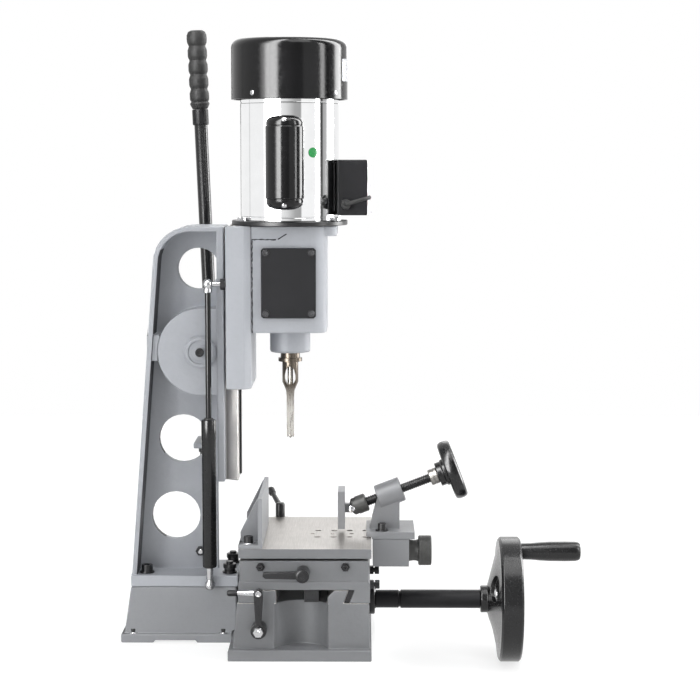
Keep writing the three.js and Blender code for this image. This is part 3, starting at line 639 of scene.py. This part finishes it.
# ---- saddle, fence and clamp hardware --------------------------------------------------------
for number, x in enumerate((-35.5, 80.3)):
    hex_nut("gib_nut_%d" % number, (x, -153.1, 129.5), (0, -1, 0), 6.2, 5.2, OXIDE, "saddle")
    spot = (x, -158.2, 129.5)
    socket_screw("gib_screw_%d" % number, spot, (0, -1, 0), 3.6, 7.0, OXIDE, "saddle")
for number, y in enumerate((-85.5, 8.5)):
    hex_nut("way_nut_%d" % number, (113.9, y, 90), FRONT, 6.6, 5.6, OXIDE, "saddle")
    socket_screw("way_screw_%d" % number, (121.2, y, 90), FRONT, 6.2, 6.4, OXIDE, "saddle")
    neck = [(0, 119), (3.4, 119), (3.4, 122), (0, 122)]
    turned("way_neck_%d" % number, neck, (0, y, 90), FRONT, OXIDE, "saddle", 24)
for number, y in enumerate((-143, 8)):
    spot = (-52.5, y, 159.9)
    socket_screw("fence_bolt_%d" % number, spot, UP, 6.4, 8.6, OXIDE, "table", 9.6, CHROME)
for number, y in enumerate((-60, 5)):
    spot = (131, y, 161.4)
    socket_screw("bracket_bolt_%d" % number, spot, UP, 6.0, 9.0, OXIDE, "table", 9.2, OXIDE)
socket_screw("cross_lock_screw", (22.4, -183.8, 122.7), (0, -1, 0), 5.6, 1.8, OXIDE, "cross_lock")
turned("cross_lock_collar", [
    (5.6, 0), (7.6, 0), (8, 0.4), (8, 1.0), (7.2, 1.4), (5.6, 1.4), (5.6, 0),
], (22.4, -183.9, 122.7), (0, -1, 0), OXIDE, "cross_lock", 40)
hex_nut(
    "bed_lock_nut", (-37.6, -181.8, 44.8), (0, -1, 0), 7.2, 2.2, CHROME, "traverse_lock",
    3.4, CHROME, 1.4,
)
socket_screw(
    "lock_handle_bolt", (-37.4, -175.8, 97), (0, -1, 0), 4.2, 3.2, CHROME, "traverse_lock",
)
LOCK_HANDLE = (0, -171.8, 97)
handle = turned("look_traverse_lock_handle", [
    (0, 44.2), (4.9, 44.2), (4.7, 46), (3, 66), (0, 66),
], LOCK_HANDLE, (-1, 0, 0), CHROME, "traverse_lock", 36)
swap(handle, "traverse_lock_handle")
turned("lock_handle_tip", [
    (0, 66.1), (3.4, 66.1), (4.2, 67.4), (4.3, 76.5), (3.6, 79.2), (2, 80.3), (0, 80.4),
], LOCK_HANDLE, (-1, 0, 0), SATIN, "traverse_lock", 36)

TILT = math.radians(21)       # the clamp screw's slope
clamp_way = (math.cos(TILT), 0, math.sin(TILT))
PIN = (87.7, -38, 190.3)
thread = [(0, 14), (6.5, 14)]
for k in range(33):
    h = 22 + 3 * k
    thread += [(6.5, h), (6.5, h + 0.5), (5.7, h + 1.5), (5.7, h + 1.9), (6.5, h + 2.9)]
thread += [(6.5, 121.2), (0, 121.2)]
screw = turned("look_clamp_screw", thread, PIN, clamp_way, OXIDE, "screw", 40)
turned("clamp_collar", [
    (0, 119.1), (10.4, 119.1), (11.4, 120.2), (11.4, 124.6), (11.0, 125), (11.0, 126),
    (11.4, 126.4), (11.4, 130.4), (10.4, 131.4), (0, 131.4),
], PIN, clamp_way, DULL_STEEL, "screw", 56)
swap(screw, "clamp_screw")
wheel_face = Vector(PIN) + Vector(clamp_way) * 156.4
socket_screw("clamp_wheel_screw", wheel_face, clamp_way, 6.5, 4.0, OXIDE, "screw")
for side in (-1, 1):
    turned("swivel_pin_end_%s" % ("near" if side < 0 else "far"), [
        (0, 11.2), (4.6, 11.2), (5.2, 12.4), (4.8, 14.4), (3.2, 15.6), (0, 16),
    ], PIN, (0, side, 0), CHROME, "swivel", 32)

knob = [(0, 151), (8, 151), (8, 169.4), (15.6, 169.4), (15.2, 171), (14.4, 176), (14.8, 180)]
knob += [(15.8, 182.6), (20.2, 183), (21.2, 184.2)]
for k in range(8):
    h = 185.4 + 1.75 * k
    knob += [(21.3, h), (21.3, h + 0.9), (20.9, h + 1.1), (20.9, h + 1.5)]
knob += [(21.3, 199.6), (20.6, 201), (19, 201.5), (0, 201.5)]
swap(turned("look_cross_feed_knob", knob, (0, -38, 128.7), FRONT, DARK_GREY, "cross_knob", 72),
     "cross_feed_knob")

# ---- traverse handwheel details --------------------------------------------------------------
WHEEL_Z = 49.3
WHEEL_AXIS = (0, 0, WHEEL_Z)
CRANK_AXIS = (0, 0, 119.3)
SCREW_CIRCLE = 16.2
swap(turned("look_handle_grip", [
    (0, 401), (5.4, 401), (5.4, 331.4), (10.6, 331.4), (11.3, 332.2), (11.6, 334), (12, 347),
    (13.2, 360), (14, 374), (14.2, 396), (13.9, 410), (13, 414.6), (11, 417), (8, 417.7),
    (0, 417.8),
], CRANK_AXIS, FRONT, BAKELITE, "crank", 64), "handle_grip")
swap(turned("look_traverse_shaft", [
    (0, 8), (10, 8), (10, 122.3), (12.5, 122.4), (12.9, 122.9), (12.9, 155), (12.4, 155.6),
    (11.4, 156.4), (11.4, 158.2), (12.8, 158.6), (13.3, 159.2), (13.3, 273), (12.8, 273.5),
    (10, 273.6), (10, 294), (0, 294),
], WHEEL_AXIS, FRONT, SATIN, "wheel", 64), "traverse_shaft")
socket_screw("wheel_hub_screw", (295.7, 0, WHEEL_Z), FRONT, 7.5, 4.2, OXIDE, "wheel", 15, CHROME)
turned("crank_pin_washer", [
    (5.6, 330.9), (9.6, 330.9), (9.6, 331.3), (5.6, 331.3), (5.6, 330.9),
], CRANK_AXIS, FRONT, CHROME, "wheel", 36)
for number, degrees in enumerate((90, 210, 330)):
    a = math.radians(degrees)
    spot = (121.4, SCREW_CIRCLE * math.cos(a), WHEEL_Z + SCREW_CIRCLE * math.sin(a))
    pan_screw("shaft_flange_screw_%d" % number, spot, FRONT, 2.8, OXIDE, "frame")

# ---- small parts with fine edges -------------------------------------------------------------
FINE_EDGE = 0.3
rounded_copy("strut_upper_end", FINE_EDGE, 1, (OXIDE,))
paint_faces("strut_upper_end", 1, lambda c, n: c.x > -94.6)
for node in (
    "strut_lower_end", "far_clamp_lever", "shaft_flange", "pinion_end_cap", "mortise_chisel",
    "depth_stop_rod", "depth_stop_nut", "feed_shaft", "switch_lead", "strut_rod", "auger_bit",
    "drill_chuck", "rotor_shaft", "stator", "cooling_fan", "column_bolt_1", "column_bolt_2",
    "column_bolt_3", "column_bolt_4",
):
    rounded_copy(node, FINE_EDGE, 1)

# ---- stage, light and camera -----------------------------------------------------------------
FLOOR_Z = -0.0425    # below the handwheel, which hangs lower than the bench face
FLOOR_HALF = 2.6
BENCH_TOP = -0.0002


def plain_box(name, low, high):
    bm = bmesh.new()
    bmesh.ops.create_cube(bm, size=1.0)
    size = Vector(high) - Vector(low)
    middle = (Vector(high) + Vector(low)) / 2
    bm.transform(Matrix.Translation(middle) @ Matrix.Diagonal((*size, 1.0)))
    mesh = bpy.data.meshes.new(name)
    bm.to_mesh(mesh)
    bm.free()
    made = bpy.data.objects.new(name, mesh)
    scene.collection.objects.link(made)
    return made


def stage_material():
    g = Graph("stage_white")
    soft = g.noise(3.0, 2.0, 0.5)
    g.feed("Base Color", g.blend(g.spread(soft, 0.0, 1.0), (0.38,) * 3, (0.40,) * 3))
    g.set("Emission Color", (1.0, 1.0, 1.0, 1.0))
    g.set("Emission Strength", 0.72)
    g.set("Roughness", 0.9)
    g.set("Specular IOR Level", 0.1)
    return g.material


white = stage_material()
floor = plain_box(
    "floor", (-FLOOR_HALF, -FLOOR_HALF, FLOOR_Z - 0.02), (FLOOR_HALF, FLOOR_HALF, FLOOR_Z),
)
bench = plain_box("bench_block", (-0.246, -0.172, FLOOR_Z), (0.122, 0.172, BENCH_TOP))
for obj in (floor, bench):
    obj.data.materials.append(white)

world = bpy.data.worlds.new("studio")
scene.world = world
world.use_nodes = True
tree = world.node_tree
tree.nodes.clear()
coords = tree.nodes.new("ShaderNodeTexCoord")
split = tree.nodes.new("ShaderNodeSeparateXYZ")
tree.links.new(coords.outputs["Generated"], split.inputs[0])
around = tree.nodes.new("ShaderNodeMath")
around.operation = "ARCTAN2"
tree.links.new(split.outputs["Y"], around.inputs[0])
tree.links.new(split.outputs["X"], around.inputs[1])
share = tree.nodes.new("ShaderNodeMapRange")
share.inputs["From Min"].default_value = -math.pi
share.inputs["From Max"].default_value = math.pi
tree.links.new(around.outputs[0], share.inputs["Value"])
ramp = tree.nodes.new("ShaderNodeValToRGB")
tree.links.new(share.outputs["Result"], ramp.inputs["Fac"])
MIRROR_STRENGTH = 24.0
WHITE = 1.0 / MIRROR_STRENGTH
DIFFUSE_STRENGTH = 0.52
# What shiny surfaces reflect, as (place around the horizon, brightness) pairs.
STOPS = (
    (0.00, 1.0), (0.085, 1.0), (0.120, 9.0), (0.155, 22.0), (0.186, 22.0), (0.198, 0.97),
    (0.235, 0.80), (0.29, 0.44), (0.328, 0.40), (0.334, 1.05), (0.44, 1.0), (0.466, 0.9),
    (0.472, 0.06), (0.484, 0.06), (0.492, 0.45), (0.515, 0.5), (0.530, 1.0), (0.548, 14.0),
    (0.594, 14.0), (0.601, 0.55), (0.607, 0.95), (0.75, 1.0), (0.955, 1.0), (0.96, 0.6),
    (0.966, 1.0), (1.0, 1.0),
)
elements = ramp.color_ramp.elements
elements[0].position, elements[1].position = STOPS[0][0], STOPS[-1][0]
elements[0].color = (STOPS[0][1] * WHITE,) * 3 + (1,)
elements[1].color = (STOPS[-1][1] * WHITE,) * 3 + (1,)
for position, value in STOPS[1:-1]:
    made = elements.new(position)
    made.color = (value * WHITE,) * 3 + (1,)
mirror_light = tree.nodes.new("ShaderNodeBackground")
mirror_light.inputs["Strength"].default_value = MIRROR_STRENGTH
tree.links.new(ramp.outputs["Color"], mirror_light.inputs["Color"])
plain_light = tree.nodes.new("ShaderNodeBackground")
plain_light.inputs["Color"].default_value = (1, 1, 1, 1)
plain_light.inputs["Strength"].default_value = DIFFUSE_STRENGTH
path = tree.nodes.new("ShaderNodeLightPath")
pick = tree.nodes.new("ShaderNodeMixShader")
tree.links.new(path.outputs["Is Glossy Ray"], pick.inputs["Fac"])
tree.links.new(plain_light.outputs[0], pick.inputs[1])
tree.links.new(mirror_light.outputs[0], pick.inputs[2])
backdrop = tree.nodes.new("ShaderNodeBackground")
backdrop.inputs["Color"].default_value = (1, 1, 1, 1)
seen = tree.nodes.new("ShaderNodeMixShader")
tree.links.new(path.outputs["Is Camera Ray"], seen.inputs["Fac"])
tree.links.new(pick.outputs[0], seen.inputs[1])
tree.links.new(backdrop.outputs[0], seen.inputs[2])
output = tree.nodes.new("ShaderNodeOutputWorld")
tree.links.new(seen.outputs[0], output.inputs["Surface"])


def area_light(name, spot, target, size, power, tall=None):
    data = bpy.data.lights.new(name, "AREA")
    data.energy = power
    data.shape = "RECTANGLE"
    data.size = size
    data.size_y = tall or size
    made = bpy.data.objects.new(name, data)
    scene.collection.objects.link(made)
    made.location = spot
    way = Vector(target) - Vector(spot)
    made.rotation_euler = way.to_track_quat("-Z", "Y").to_euler()
    return made


area_light("right_softbox", (2.2, -0.82, 1.2), (0.0, 0.0, 0.45), 0.42, 26, 1.9)
area_light("left_softbox", (-1.75, -1.95, 1.0), (-0.05, 0.0, 0.45), 0.36, 14, 1.8)
area_light("top_softbox", (0.5, -0.9, 2.6), (0.0, 0.0, 0.4), 1.3, 16)
area_light("rear_softbox", (0.4, 2.4, 1.5), (0.0, 0.0, 0.4), 1.2, 8)

CAMERA_DIP = 5.86        # degrees below the horizon
CAMERA_TURN = 0.0079     # radians about Z
camera_data = bpy.data.cameras.new("camera")
camera_data.sensor_width = 36.0
camera_data.lens = 98.22
camera = bpy.data.objects.new("camera", camera_data)
scene.collection.objects.link(camera)
camera.location = (0.1069, -2.7154, 0.690)
camera.rotation_euler = (math.radians(90.0 - CAMERA_DIP), 0.0, CAMERA_TURN)
scene.camera = camera
scene.view_settings.view_transform = "Standard"
